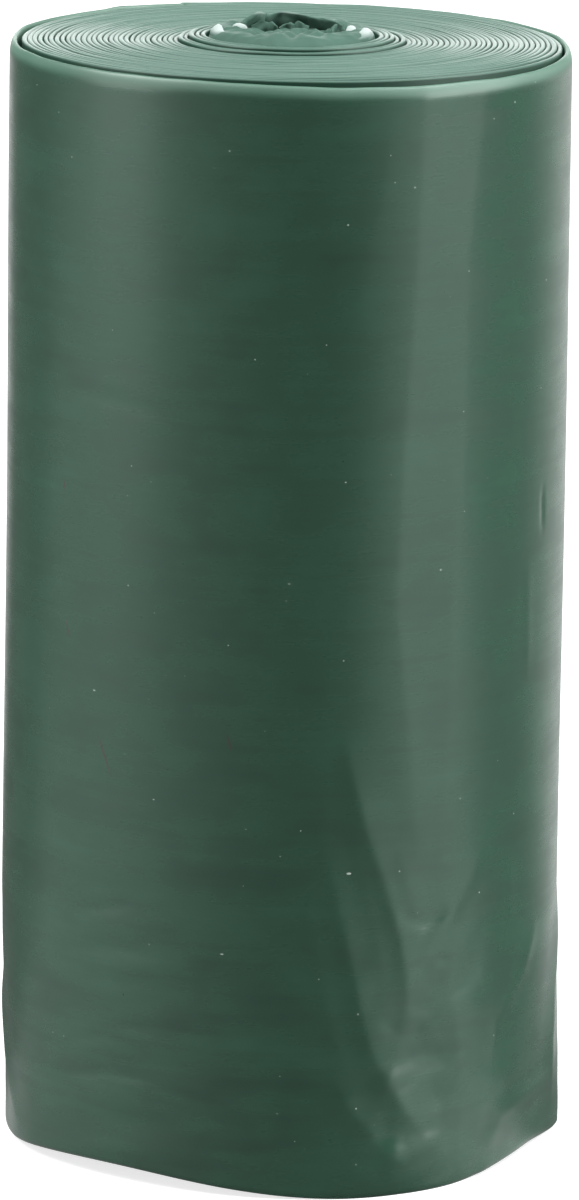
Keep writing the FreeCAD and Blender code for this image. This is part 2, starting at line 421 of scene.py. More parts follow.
# %% The loop of points through the band
straight_top = roll_height - fold_rise
creased_top = 16.0          # rows lie closer below this height
crest = 0.65                # the fold's highest line, as a share of its width
inner_rise = 0.22           # the fold rounds down on its inside in this height
hem_cut = 0.07              # the hem's two corners are cut by this much
outer = np.concatenate([np.arange(0.10, creased_top, 0.22),
                        np.arange(creased_top, straight_top, 0.42)])
turned = np.radians(np.linspace(0.0, 90.0, 9))
over_z = straight_top + fold_rise * np.sin(turned)
over_in = crest * fold_width * (1.0 - np.cos(turned))
back = np.radians(np.linspace(90.0, 0.0, 6)[1:])
under_z = roll_height - inner_rise + inner_rise * np.sin(back)
under_in = fold_width * (crest + (1.0 - crest) * np.cos(back))
inner = np.array([60.2, 59.6, 58.6, 56.0, 53.0, 48.0, 40.0, 30.0, 20.0, 14.0, 10.0, 7.0, 4.5, 2.5,
                  1.0, 0.1])
loop_z = np.concatenate([[0.0], outer, over_z, under_z, inner, [0.0]])
inner_in = wall + (fold_width - wall) * (1.0 - fade(inner - 58.5, 1.8))
loop_in = np.concatenate([[hem_cut], 0.0 * outer, over_in, under_in, inner_in,
                          [wall - hem_cut]])
print(len(loop_z), "points in the loop")

# %% Steps round the roll, and the strip itself
fine_right, fine_left = 105.0, -100.0       # azimuths between which the steps are fine
fine_from, fine_to = (tail_azimuth - fine_right) % 360.0, (tail_azimuth - fine_left) % 360.0
gone = np.concatenate([                     # degrees gone from the free end
    [0.0, 0.25, 0.5, 1.0], np.arange(2.0, fine_from, 2.0), np.arange(fine_from, fine_to, 0.75),
    np.arange(fine_to, 360.0, 1.5), [360.0]])
end_thin, thin_run = 0.5, 2.5       # the free end lacks half its thickness
end_teeth, teeth_run = 0.10, 0.4    # its teeth are so deep, in mm
end_lift, lift_run = 0.10, 3.0      # it stands off by so much; each dies away over its own run


def last_turn():
    """The columns of the strip, one for each step."""
    teeth = 1.0 + waves(0.0, loop_z, seed=21, count=6, around=(0, 0), up=(0.5, 0.72), size=0.8)
    columns = []
    for step in gone:
        azimuth = tail_azimuth - step
        slack = end_thin * wall * np.exp(-step / thin_run)
        edge = end_teeth * teeth * np.exp(-step / teeth_run)
        radius = radius_at(loop_z) - wall * step / 360.0 + skin_shift(azimuth, loop_z)
        thin = (wall - slack) / wall
        radius = radius - wall + (wall - loop_in) * thin + end_lift * np.exp(-step / lift_run)
        z = loop_z + hem_shift(azimuth) * fade(loop_z, 6.0)
        z = z + rim_shift(azimuth) * (1.0 - fade(loop_z - 48.0, 12.0))
        angle = np.radians(azimuth - edge / degree)
        columns.append(np.stack([radius * np.sin(angle), -radius * np.cos(angle), z], 1))
    return columns


skin = piece_from("last_turn", [strip(last_turn())])
# The rim is marked paler, partly as its fold is thin and partly as painted light on its rounded
# shoulder.
rim_thin_and_lit = 1.0 - fade(loop_z - straight_top - 0.05, 0.55)
# Painted shade: at the front left the rim's painted light is weaker.
front_left_shade = 0.35 * bump(tail_azimuth - gone, -34.0, 42.0)          # the rim is less pale there
mark_thin_and_lit(skin, np.concatenate([rim_thin_and_lit * (1.0 - less) for less in front_left_shade]))
print("last turn:", triangles(skin), "triangles")

# %% [markdown]
# ## The wound turns
#
# Between the gather and the last turn lie about thirty-four turns. Only their
# folded edges show, as fine rounded lines at the top and at the foot. Modelling
# each turn as a ring would be quick but wrong, because the real web is one
# spiral. Geometry Nodes has a spiral curve and a sweep, so the tree stays close
# to how the roll was made: wind the line, sweep the band, then let its edges
# wander a little, because no winder keeps them perfectly level.

# %% A small helper for building node trees
class Tree:
    """Adds nodes to a tree and links them, so that each step is one line."""

    def __init__(self, tree):
        self.tree = tree

    def add(self, kind, inputs=None, **settings):
        node = self.tree.nodes.new(kind)
        for name, value in settings.items():
            setattr(node, name, value)
        for name, value in (inputs or {}).items():
            socket = node.inputs[name]
            if isinstance(value, bpy.types.NodeSocket):
                self.tree.links.new(value, socket)
            else:
                socket.default_value = value
        return node

    def math(self, operation, *values):
        return self.add("ShaderNodeMath", dict(enumerate(values)), operation=operation).outputs[0]

    def plus(self, first, second):
        return self.math("ADD", first, second)

    def minus(self, first, second):
        return self.math("SUBTRACT", first, second)

    def times(self, first, second):
        return self.math("MULTIPLY", first, second)

    def vector(self, operation, *values):
        node = self.add("ShaderNodeVectorMath", dict(enumerate(values)), operation=operation)
        return node.outputs["Value" if operation in ("LENGTH", "DOT_PRODUCT") else "Vector"]

    def scaled(self, vector, scale):
        node = self.add("ShaderNodeVectorMath", {"Vector": vector, "Scale": scale},
                        operation="SCALE")
        return node.outputs["Vector"]

    def apart(self, vector):
        return self.add("ShaderNodeSeparateXYZ", {"Vector": vector}).outputs

    def joined(self, x=0.0, y=0.0, z=0.0):
        return self.add("ShaderNodeCombineXYZ", {"X": x, "Y": y, "Z": z}).outputs[0]

    def step(self, value, start, end, low=0.0, high=1.0, kind="SMOOTHSTEP"):
        """Maps a value from start..end to low..high."""
        node = self.add("ShaderNodeMapRange", {
            "Value": value, "From Min": start, "From Max": end, "To Min": low, "To Max": high},
            interpolation_type=kind)
        return node.outputs[0]

    def noise(self, vector, detail=2.0, scale=1.0):
        return self.add("ShaderNodeTexNoise", {
            "Vector": vector, "Scale": scale, "Detail": detail, "Roughness": 0.5}).outputs["Fac"]


def new_inputs(group, sizes, kind="NodeSocketFloat"):
    """Gives a node group one named input for each size."""
    for name, value in sizes.items():
        group.interface.new_socket(name, in_out="INPUT", socket_type=kind).default_value = value


print("helper for node trees ready")

# %% [markdown]
# The spiral's radius grows by one turn of film each time round, and a slow
# noise pushes the line in and out by some hundredths of a millimetre, so that
# some turns sit tight and others leave a dark gap. The noise is read in polar
# terms, with the radius counting much more than the direction, which makes it
# differ from turn to turn yet change slowly along one.

# %% The tree, part one: wind the line
def turn_noise(t, place, seed, turn_rate, around_rate, shift):
    """A noise from about -1 to 1 that differs from turn to turn."""
    depth = t.plus(t.times(t.vector("LENGTH", place), turn_rate), shift)
    spot = t.vector("ADD", t.scaled(t.vector("NORMALIZE", place), around_rate),
                    t.joined(z=t.plus(depth, seed)))
    return t.times(t.minus(t.noise(spot, 1.0), 0.5), 3.0)


def winding_line(t, given):
    """The spiral, with its uneven spacing, and its place kept as an attribute."""
    line = t.add("GeometryNodeCurveSpiral", {
        "Resolution": 128, "Rotations": given["Turns"], "Start Radius": given["Inner radius"],
        "End Radius": given["Outer radius"], "Height": 0.0, "Reverse": True}).outputs[0]
    line = t.add("GeometryNodeResampleCurve", {"Curve": line, "Length": given["Segment"]},
                 mode="LENGTH").outputs[0]
    line = t.add("GeometryNodeTransform", {
        "Geometry": line, "Rotation": t.joined(z=given["Tail angle"])}).outputs[0]
    place = t.add("GeometryNodeInputPosition").outputs[0]
    push = t.times(turn_noise(t, place, given["Seed"], 1.1, 1.3, 0.0), given["Spacing wander"])
    line = t.add("GeometryNodeSetPosition", {
        "Geometry": line, "Offset": t.scaled(t.vector("NORMALIZE", place), push)}).outputs[0]
    line = t.add("GeometryNodeSetCurveNormal", {"Curve": line}, mode="Z_UP").outputs[0]
    keep = t.add("GeometryNodeCaptureAttribute", {"Geometry": line})
    keep.capture_items.new("VECTOR", "Line place")
    t.tree.links.new(place, keep.inputs["Line place"])
    return keep.outputs["Geometry"], keep.outputs["Line place"]


print("winding functions ready")

# %% [markdown]
# The band's section is a tall thin rectangle with round ends. After the sweep
# each point still knows which place on the line it came from, so its height and
# its distance from the line can be changed separately. The first turns are
# raised in two steps, the outermost ones step down towards the front right, the
# whole end leans back a little, and the edges rise and fall by a few hundredths.

# %% The tree, part two: sweep the band and finish its edges
def wound_web_tree():
    group = bpy.data.node_groups.new("wound_web", "GeometryNodeTree")
    t = Tree(group)
    new_inputs(group, {
        "Inner radius": first_radius, "Outer radius": last_radius, "Turns": 34.0,
        "Lower edge": hem_depth, "Upper edge": turns_top,
        "Band width": 0.28, "Edge round": 0.13, "Segment": 0.75,
        "Spacing wander": 0.075, "Edge wander": 0.042, "Width wander": 0.30,
        "Raised turns": 5.0, "Raised height": raised_height, "Highest turns": 3.0, "Tilt": 0.006,
        "Outer drop": 0.16, "Drop radius": 14.0, "Taper": taper, "Tail angle": 0.0, "Seed": 3.0})
    group.interface.new_socket("Film", in_out="INPUT", socket_type="NodeSocketMaterial")
    group.interface.new_socket("Geometry", in_out="OUTPUT", socket_type="NodeSocketGeometry")
    given = t.add("NodeGroupInput").outputs
    line, on_line = winding_line(t, given)

    tall = t.minus(given["Upper edge"], given["Lower edge"])
    section = t.add("GeometryNodeCurvePrimitiveQuadrilateral", {
        "Width": given["Band width"], "Height": tall}).outputs[0]
    section = t.add("GeometryNodeFilletCurve", {
        "Curve": section, "Count": 4, "Radius": given["Edge round"]}, mode="POLY").outputs[0]
    band = t.add("GeometryNodeCurveToMesh", {
        "Curve": line, "Profile Curve": section, "Fill Caps": True}).outputs[0]

    place = t.add("GeometryNodeInputPosition").outputs[0]
    spot, line_spot = t.apart(place), t.apart(on_line)
    below = t.minus(t.times(tall, 0.5), t.math("ABSOLUTE", spot["Z"]))
    # The band's rounded edges are marked paler: partly thin film's paleness, partly painted light on
    # the turns' edges.
    band = t.add("GeometryNodeStoreNamedAttribute", {
        "Geometry": band, "Name": "thin_and_lit_share", "Value": t.step(below, given["Edge round"], 0.0)},
        data_type="FLOAT", domain="POINT").outputs[0]
    radius = t.vector("LENGTH", on_line)
    upper = t.math("GREATER_THAN", spot["Z"], 0.0)
    middle = t.times(t.plus(given["Upper edge"], given["Lower edge"]), 0.5)
    pitch = t.math("DIVIDE", t.minus(given["Outer radius"], given["Inner radius"]),
                   given["Turns"])
    turn = t.math("DIVIDE", t.minus(radius, given["Inner radius"]), pitch)
    inward = (0.1, -0.1)        # a step starts just outside its turn and ends just inside
    both = t.plus(t.step(t.minus(turn, given["Raised turns"]), *inward),
                  t.step(t.minus(turn, given["Highest turns"]), *inward))
    raised = t.times(both, given["Raised height"])
    front_right = (0.87, -0.50, 0.0)
    front = t.vector("DOT_PRODUCT", t.vector("NORMALIZE", on_line), front_right)
    front = t.step(front, -0.1, 1.0)
    dropped = t.times(t.step(radius, given["Drop radius"], given["Outer radius"]),
                      t.times(given["Outer drop"], front))
    dropped = t.plus(dropped, t.times(line_spot["Y"], given["Tilt"]))
    dropped = t.times(dropped, upper)
    wander = t.add("ShaderNodeMix", {
        0: upper, 2: turn_noise(t, on_line, given["Seed"], 2.3, 1.6, 50.0),
        3: turn_noise(t, on_line, given["Seed"], 2.3, 1.6, 20.0)}).outputs[0]
    height = t.plus(t.plus(spot["Z"], middle), t.minus(raised, dropped))
    height = t.plus(height, t.times(wander, given["Edge wander"]))

    across = t.joined(t.minus(spot["X"], line_spot["X"]), t.minus(spot["Y"], line_spot["Y"]))
    fuller = t.times(turn_noise(t, on_line, given["Seed"], 2.9, 2.2, 80.0), given["Width wander"])
    wide = t.vector("ADD", on_line, t.scaled(across, t.plus(1.0, fuller)))
    spread = t.math("DIVIDE", t.times(given["Taper"], t.minus(1.0, upper)), given["Outer radius"])
    wide = t.apart(t.scaled(wide, t.plus(1.0, spread)))
    band = t.add("GeometryNodeSetPosition", {
        "Geometry": band, "Position": t.joined(wide["X"], wide["Y"], height)}).outputs[0]

    band = t.add("GeometryNodeTransform", {"Geometry": band, "Scale": (MM, MM, MM)}).outputs[0]
    band = t.add("GeometryNodeSetShadeSmooth", {"Geometry": band}).outputs[0]
    band = t.add("GeometryNodeRealizeInstances", {"Geometry": band}).outputs[0]
    band = t.add("GeometryNodeSetMaterial", {"Geometry": band, "Material": given["Film"]}).outputs[0]
    t.add("NodeGroupOutput", {"Geometry": band})
    return group


def grow(name, tree, values):
    """Runs a tree on an empty mesh and keeps what it makes as a plain mesh."""
    holder = bpy.data.objects.new(name, bpy.data.meshes.new(name))
    bpy.context.collection.objects.link(holder)
    modifier = holder.modifiers.new("grow", "NODES")
    modifier.node_group = tree
    for item in tree.interface.items_tree:
        if item.item_type == "SOCKET" and item.in_out == "INPUT" and item.name in values:
            modifier[item.identifier] = values[item.name]
    made = holder.evaluated_get(bpy.context.evaluated_depsgraph_get())
    mesh = bpy.data.meshes.new_from_object(made)
    holder.modifiers.clear()
    holder.data = mesh
    return holder


def press_with_skin(piece):
    """Bends the outer turns with the last one, so that none cuts through it."""
    points = np.empty(len(piece.data.vertices) * 3)
    piece.data.vertices.foreach_get("co", points)
    points = points.reshape(-1, 3) / MM
    radius = np.hypot(points[:, 0], points[:, 1])
    azimuth = np.degrees(np.arctan2(points[:, 0], -points[:, 1]))
    shift = foot_press(azimuth, points[:, 2]) + long_flat(azimuth, points[:, 2])
    unmoved, moved = 8.0, 15.0          # inside the first radius not at all, at the second fully
    shift = shift * np.clip((radius - unmoved) / (moved - unmoved), 0.0, 1.0)
    points[:, :2] *= (1.0 + shift / radius)[:, None]
    piece.data.vertices.foreach_set("co", (points * MM).ravel())


print("tree functions ready")

# %% [markdown]
# ## The film
#
# The film is soft polyethylene, dark green with a grey haze. It is neither
# glossy nor matt: broad lights show as broad soft bands. Up close it has very
# fine lines round the roll, the direction in which it ran through the machine,
# and faint clouds where it is a little thinner. Handling left specks of dust
# and a few brownish scuffs. Each effect is a node group, because the outside of
# the roll and the edges of its turns use them at different strengths.

# %% Node groups for the film
def shader_group(name, sizes, outputs):
    group = bpy.data.node_groups.new(name, "ShaderNodeTree")
    new_inputs(group, sizes)
    for output in outputs:
        group.interface.new_socket(output, in_out="OUTPUT", socket_type="NodeSocketFloat")
    t = Tree(group)
    place = t.add("ShaderNodeTexCoord").outputs["Object"]
    return group, t, t.add("NodeGroupInput").outputs, place


def film_flow_group():
    """Fine lines round the roll, and faint clouds, in cells on a metre. Tone is 1 on average."""
    group, t, given, place = shader_group(
        "film_flow", {"Lines": 0.10, "Clouds": 0.10}, ("Tone", "Relief"))
    fine = t.noise(t.vector("MULTIPLY", place, (110.0, 110.0, 2600.0)), 3.0)
    broad = t.noise(t.vector("MULTIPLY", place, (60.0, 60.0, 420.0)), 2.0)
    cloud = t.noise(t.vector("MULTIPLY", place, (260.0, 260.0, 420.0)), 5.0)
    lines = t.plus(t.minus(fine, 0.5), t.minus(broad, 0.5))
    tone = t.plus(1.0, t.times(lines, given["Lines"]))
    tone = t.plus(tone, t.times(t.minus(cloud, 0.5), given["Clouds"]))
    t.add("NodeGroupOutput", {
        "Tone": tone, "Relief": t.plus(cloud, t.times(fine, 0.10))})
    return group


def dust_group():
    """A mask of scattered specks. Cells is how many cells lie on a metre."""
    group, t, given, place = shader_group(
        "dust", {"Cells": 650.0, "Size": 0.06, "Share": 0.5, "Stretch": 1.0}, ("Mask",))
    spot = t.vector("MULTIPLY", t.scaled(place, given["Cells"]),
                    t.joined(given["Stretch"], given["Stretch"], 1.0))
    cells = t.add("ShaderNodeTexVoronoi", {"Vector": spot, "Scale": 1.0}, feature="F1").outputs
    draw = t.apart(cells["Color"])
    size = t.times(given["Size"], t.plus(0.45, draw["Y"]))
    near = t.step(cells["Distance"], size, t.times(size, 0.55))
    t.add("NodeGroupOutput", {
        "Mask": t.times(near, t.math("LESS_THAN", draw["X"], given["Share"]))})
    return group


def scuff_group():
    """A mask of one thin scuff at an azimuth and a height in mm."""
    group, t, given, place = shader_group(
        "scuff", {"Azimuth": 0.0, "Height": 30.0, "Slant": 0.3, "Length": 1.0, "Width": 0.1},
        ("Mask",))
    spot = t.apart(place)
    turned = t.math("ARCTAN2", spot["X"], t.times(spot["Y"], -1.0))
    side = t.minus(turned, t.math("RADIANS", given["Azimuth"]))
    side = t.times(side, roll_radius)
    up = t.minus(t.math("DIVIDE", spot["Z"], MM), given["Height"])
    side = t.minus(side, t.times(up, given["Slant"]))
    ragged = t.times(t.noise(t.scaled(place, 4500.0)), 1.4)
    thin = t.step(t.math("ABSOLUTE", side), t.times(given["Width"], ragged), 0.0)
    short = t.step(t.math("ABSOLUTE", up), given["Length"], t.times(given["Length"], 0.5))
    t.add("NodeGroupOutput", {"Mask": t.times(thin, short)})
    return group


flow, dust, scuff = film_flow_group(), dust_group(), scuff_group()
print("groups:", [group.name for group in (flow, dust, scuff)])


# %% The three finishes of the film, with painted light in their paler colours and in the crumpled film's base
speck_kinds = (         # cells on a metre, size, share, stretch, colour, strength
    (950.0, 0.045, 1.0, 1.0, (0.42, 0.47, 0.44, 1.0), 0.75),        # pale grains
    (560.0, 0.035, 0.5, 0.5, (0.50, 0.56, 0.52, 1.0), 0.8),         # pale threads
    (700.0, 0.040, 0.5, 1.0, (0.012, 0.012, 0.012, 1.0), 0.7))      # dark crumbs
scuff_brown = (0.060, 0.020, 0.020, 1.0)
scuff_sizes = ("Azimuth", "Height", "Slant", "Length", "Width")


def film_material(name, colour, paler_and_lit, rough, rougher, shine, lines, clouds, specks, scuffs=()):
    """A film finish built from the groups. Where the film is thin it is paler and rougher; the same
    share also carries painted light, as the paler colour.
    """
    material = bpy.data.materials.new(name)
    material.use_nodes = True
    t = Tree(material.node_tree)
    shader = material.node_tree.nodes["Principled BSDF"]

    def group(tree, **values):
        node = t.add("ShaderNodeGroup", node_tree=tree)
        for key, value in values.items():
            node.inputs[key].default_value = value
        return node.outputs

    def mixed(mask, under, over, strength):
        return t.add("ShaderNodeMix", {
            0: t.times(mask, strength), 6: under, 7: over}, data_type="RGBA").outputs[2]

    film_flow = group(flow, Lines=lines, Clouds=clouds)
    shade = t.add("ShaderNodeVectorMath", {0: colour, "Scale": film_flow["Tone"]},
                  operation="SCALE").outputs["Vector"]
    # Painted light: the share that makes thin film paler also paints light on the rim, the turns'
    # edges and the gather's tops.
    thin = t.add("ShaderNodeAttribute", attribute_name="thin_and_lit_share").outputs["Fac"]
    shade = mixed(thin, shade, paler_and_lit, 1.0)
    for sizes in scuffs:
        mask = group(scuff, **dict(zip(scuff_sizes, sizes)))["Mask"]
        shade = mixed(mask, shade, scuff_brown, 1.0)
    for cells, size, share, stretch, tint, strength in speck_kinds:
        mask = group(dust, Cells=cells, Size=size, Share=share * specks, Stretch=stretch)["Mask"]
        shade = mixed(mask, shade, tint, strength)
    t.tree.links.new(shade, shader.inputs["Base Color"])
    uneven = t.step(film_flow["Tone"], 0.9, 1.1, rough + 0.03, rough - 0.03, "LINEAR")
    t.tree.links.new(t.plus(uneven, t.times(thin, rougher)), shader.inputs["Roughness"])
    bump = t.add("ShaderNodeBump", {"Height": film_flow["Relief"], "Strength": 0.12,
                                    "Distance": 0.00005})
    t.tree.links.new(bump.outputs[0], shader.inputs["Normal"])
    shader.inputs["Specular IOR Level"].default_value = shine
    shader.inputs["Specular Tint"].default_value = (0.89, 1.0, 0.95, 1.0)   # film dyed through
    return material


# Painted light: the outside's paler colour lights its rounded rim.
film_outside = film_material(
    "film_outside", colour=(0.0165, 0.061, 0.036), paler_and_lit=(0.071, 0.161, 0.115, 1.0),
    rough=0.28, rougher=0.26, shine=1.0, lines=0.30, clouds=0.70, specks=0.45, scuffs=(
        (-38.0, 23.6, -0.42, 1.1, 0.10), (-10.3, 25.2, -0.30, 0.5, 0.08),
        (-49.0, 30.2, -0.25, 0.5, 0.09), (-50.5, 38.0, 0.20, 0.3, 0.09)))
# Partly painted light: the edges' paler colour is thin film's paleness and light on the turns'
# edges.
film_edges = film_material(
    "film_edges", colour=(0.012, 0.045, 0.028), paler_and_lit=(0.082, 0.158, 0.125, 1.0),
    rough=0.46, rougher=0.0, shine=0.4, lines=0.10, clouds=0.30, specks=0.20)
# Painted light: the crumpled film is the same film, made two to four times lighter to light the
# upper end, with near-white painted highlights as its paler colour.
film_crumpled_lit = film_material(
    "film_crumpled_lit", colour=(0.068, 0.132, 0.104), paler_and_lit=(0.420, 0.490, 0.470, 1.0),
    rough=0.60, rougher=0.0, shine=0.1, lines=0.10, clouds=0.40, specks=0.0)
skin.data.materials.append(film_outside)
print("finishes:", film_outside.name, film_edges.name, film_crumpled_lit.name)

# %% Wind the web
web = grow("wound_web", wound_web_tree(), {
    "Film": film_edges, "Tail angle": math.radians(tail_azimuth - 90.0)})
press_with_skin(web)
print("wound web:", triangles(web), "triangles")

# %% [markdown]
# ## The gathered start
#
# In the middle the web starts as a crumpled gather: a pleated collar with
# folded leaves of film standing inside it, one of them arched over like a hood.
# The crumple that broke up the foot is laid, stronger, over a plug that fills
# the middle at both ends. On the plug stand the leaves.
# Each leaf is a closed strip along a short path, with its own height, thickness
# and lean, and the same crumple runs through it.

# %% A smooth path
def through(stations, count):
    """A smooth run of points through the stations (Catmull-Rom)."""
    stations = np.array(stations, float)
    padded = np.vstack([2 * stations[0] - stations[1], stations, 2 * stations[-1] - stations[-2]])
    spots = np.linspace(0.0, len(stations) - 1.0, count)
    first = np.minimum(spots.astype(int), len(stations) - 2)
    s = (spots - first)[:, None]
    a, b, c, d = (padded[first + i] for i in range(4))
    return 0.5 * (2 * b + (c - a) * s + (2 * a - 5 * b + 4 * c - d) * s ** 2
                  + (3 * b - a - 3 * c + d) * s ** 3)


print("half way through three stations:", through(((0, 0), (1, 1), (2, 0)), 3)[1])

# %% One leaf of film
def leaf(stations, half, foot, seed, rough):
    """A folded leaf. Each station is (right, back, top, lean), in mm."""
    run = through(stations, 12 * len(stations))
    ahead = np.gradient(run[:, :2], axis=0)
    ahead /= np.linalg.norm(ahead, axis=1)[:, None]
    beside = np.stack([-ahead[:, 1], ahead[:, 0]], 1)
    thin = half * (0.25 + 0.75 * np.sin(np.pi * np.linspace(0.02, 0.98, len(run))) ** 0.5)
    up = np.linspace(0.0, 0.93, 12)                     # rows of a flank, as shares of its height
    turn = np.radians(np.linspace(180.0, 0.0, 7))       # rows over the rounded top
    shares = np.concatenate([up, np.ones(len(turn)), up[::-1]])
    rounded = slice(len(up), len(up) + len(turn))
    loose = np.minimum(2 * shares, 1)                   # the plug holds the foot
    columns = []
    for (x, y, top, lean), side, h in zip(run, beside, thin):
        flank = h * (1.5 - 0.5 * up)
        offs = np.concatenate([-flank, h * np.cos(turn), flank[::-1]])
        z = foot + (top - foot - h) * shares
        z[rounded] += h * np.sin(turn)
        offs = offs + lean * shares ** 2
        points = np.stack([x + side[0] * offs, y + side[1] * offs, z], 1)
        for axis in range(3):
            points[:, axis] += crumple(*points.T, seed + axis, rough, length=0.9) * loose
        columns.append(points)
    return strip(columns)


short_leaf, leaf_faces = leaf(((0, 0, 2, 0), (1, 0, 2, 0)), 0.1, 0.0, seed=1, rough=0.05)
print("a leaf of two stations:", len(short_leaf), "points,", len(leaf_faces), "faces")

# %% The leaves, in the order that they are met from the left
plug_top = 60.55            # top of the plug's side
leaf_foot = plug_top - 1.0  # the leaves start inside the plug
lumps = (                   # stations of (right, back, top, lean), and half the thickness
    (((-4.05, 0.3, 61.30, 0.0), (-3.95, -0.4, 61.62, 0.0), (-3.85, -1.2, 61.58, 0.0),
      (-3.60, -1.9, 61.30, 0.0)), 0.42),
    (((-3.35, 0.3, 61.40, 0.1), (-3.00, -0.1, 61.68, 0.1), (-2.55, -0.6, 61.56, 0.1)), 0.32),
    (((2.95, -1.0, 61.4, 0.0), (3.25, -0.4, 61.68, 0.0), (3.35, 0.5, 61.45, 0.0)), 0.30),
    (((3.45, -2.5, 61.20, 0.0), (3.90, -1.7, 61.52, 0.0), (4.15, -0.8, 61.62, 0.0),
      (4.20, 0.3, 61.35, 0.0)), 0.42),
)
leaves = (
    (((-2.95, 0.3, 61.65, -0.1), (-2.55, 0.8, 61.98, -0.3), (-1.95, 1.2, 62.18, -0.4),
      (-1.40, 1.5, 62.14, -0.2)), 0.12),
    (((-2.1, 1.1, 61.70, 0.0), (-1.4, 1.5, 62.04, -0.2), (-0.6, 1.8, 62.20, -0.5),
      (0.2, 1.9, 62.24, -0.8), (1.0, 1.8, 62.18, -1.0), (1.8, 1.4, 62.02, -0.9),
      (2.5, 0.9, 61.80, -0.5), (3.1, 0.4, 61.50, 0.0)), 0.10),
    (((0.2, 0.5, 61.52, 0.0), (0.6, 0.2, 61.70, -0.1), (1.1, 0.45, 61.60, 0.0)), 0.07),
    (((-2.1, 0.5, 61.55, 0.1), (-1.5, 0.6, 61.76, 0.1), (-0.9, 0.3, 61.58, 0.0)), 0.07),
    (((-0.6, 0.4, 61.50, 0.0), (-0.2, 0.6, 61.66, 0.1), (0.2, 0.3, 61.55, 0.0)), 0.07),
    (((0.2, -4.25, 61.20, 0.2), (1.3, -4.1, 61.46, 0.3), (2.4, -3.55, 61.44, 0.3),
      (3.3, -2.8, 61.25, 0.2)), 0.16),
    (((2.2, -1.2, 61.50, 0.0), (2.5, -0.3, 61.74, 0.1), (2.3, 0.5, 61.55, 0.0)), 0.10),
    (((2.7, -1.3, 61.45, 0.0), (2.9, -0.4, 61.70, 0.1), (2.7, 0.3, 61.5, 0.0)), 0.10),
    (((-3.1, 2.2, 61.1, 0.1), (-1.6, 3.4, 61.30, 0.2), (0.2, 3.8, 61.35, 0.2),
      (2.0, 3.3, 61.25, 0.2), (3.4, 1.9, 61.15, 0.1)), 0.24),
)
print(len(lumps) + len(leaves), "leaves")


# %% The plug, closed at both ends
plug_radii = np.array([0.0, 1.0, 2.0, 2.8, 3.5, 4.1, 4.5, 4.65])
plug_heights = np.array([61.40, 61.44, 61.48, 61.56, 61.57, 61.42, 61.10, 60.78])


plug_wide, plug_deep = 0.98, 1.13           # it is pressed a little oval
pit_right, pit_back, pit_depth = 1.45, 0.35, 0.45


def plug():
    """A crumpled column that fills the middle, domed at both ends."""
    ring = np.radians(np.arange(0.0, 360.0, 2.0))
    out = np.linspace(0.0, plug_radii[-1], 28)
    side = np.linspace(plug_top, hem_depth, 8)[1:-1]
    columns = []
    for angle in ring:
        back = 0.5 - 0.5 * math.cos(angle)
        top = np.interp(out, plug_radii, plug_heights)
        top = top - 0.40 * back * bump(out * 30.0, 60.0, 70.0)      # a dip 2 mm behind the middle
        radius = np.concatenate([out, 0.0 * side + plug_radii[-1], out[::-1]])
        z = np.concatenate([top, side, hem_depth + plug_heights[-1] - top[::-1]])
        x, y = plug_wide * radius * np.sin(angle), -plug_deep * radius * np.cos(angle)
        loose = np.minimum(radius, 1.0) * (0.5 + 0.5 * fade(radius - 2.4, 1.4))
        z = (z + crumple(x, y, z, seed=31, size=0.15, length=1.5) * loose
             + crumple(x, y, z, seed=33, size=0.08, length=0.7) * loose)
        pit = np.hypot(x - pit_right, y - pit_back)
        z = z - pit_depth * fade(pit - 0.15, 0.35) * (z > turns_top)
        columns.append(np.stack([x, y, z], 1))
    points = np.stack(columns)
    count, rows = points.shape[:2]
    faces = []
    for c in range(count):
        here, after = c * rows, (c + 1) % count * rows
        faces += [(here + r, here + r + 1, after + r + 1, after + r) for r in range(rows - 1)]
    return points.reshape(-1, 3), faces


parts = [plug()]
parts += [leaf(path, half, leaf_foot, 50 + i, rough=0.07) for i, (path, half) in enumerate(lumps)]
parts += [leaf(path, half, leaf_foot, 60 + i, rough=0.11) for i, (path, half) in enumerate(leaves)]
gather = piece_from("gathered_start", parts)
heights = np.concatenate([points[:, 2] for points, faces in parts])
in_lump = np.concatenate([np.full(len(points), 1 <= i <= len(lumps))
                          for i, (points, faces) in enumerate(parts)])
# Painted highlights: the lumps and the highest leaves grow paler towards their tops, partly thin
# film's paleness.
painted_highlight_lump = np.clip((heights - 61.25) / 0.25, 0.0, 1.0)
painted_highlight_top = 0.5 * np.clip((heights - 62.05) / 0.15, 0.0, 1.0)        # only the highest leaves
mark_thin_and_lit(gather, np.where(in_lump, painted_highlight_lump, painted_highlight_top))
gather.data.materials.append(film_crumpled_lit)
print("gathered start:", triangles(gather), "triangles")

# %% [markdown]
# ## Ride and replace
#
# The roll is one rigid body, so all three pieces ride on the root, and together
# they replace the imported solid.

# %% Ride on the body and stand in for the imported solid
for piece in (skin, web, gather):
    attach(piece, "root")
    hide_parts("bag_roll")
print("pieces:", [piece.name for piece in (skin, web, gather)])

# %% [markdown]
# ## Floor, backdrop and lights
#
# The roll stands on a pale sweep. The camera looks down a little, so the sweep
# fills the view. It is a matt grey that takes the roll's shadow, and it glows
# for camera rays, more so far out, where the lamps no longer reach, so that it
# is white all over.
#
# Shiny film mirrors its surroundings, and the upright wall mirrors the sweep
# near its foot. For glossy rays the sweep therefore glows by direction, as a
# table does on which cards stand: dark in front, pale towards both sides and
# white straight behind. Each pair of angles is one soft step up or down round
# the roll. The world is white for glossy rays only low and straight behind,
# where the turns' edges catch it.

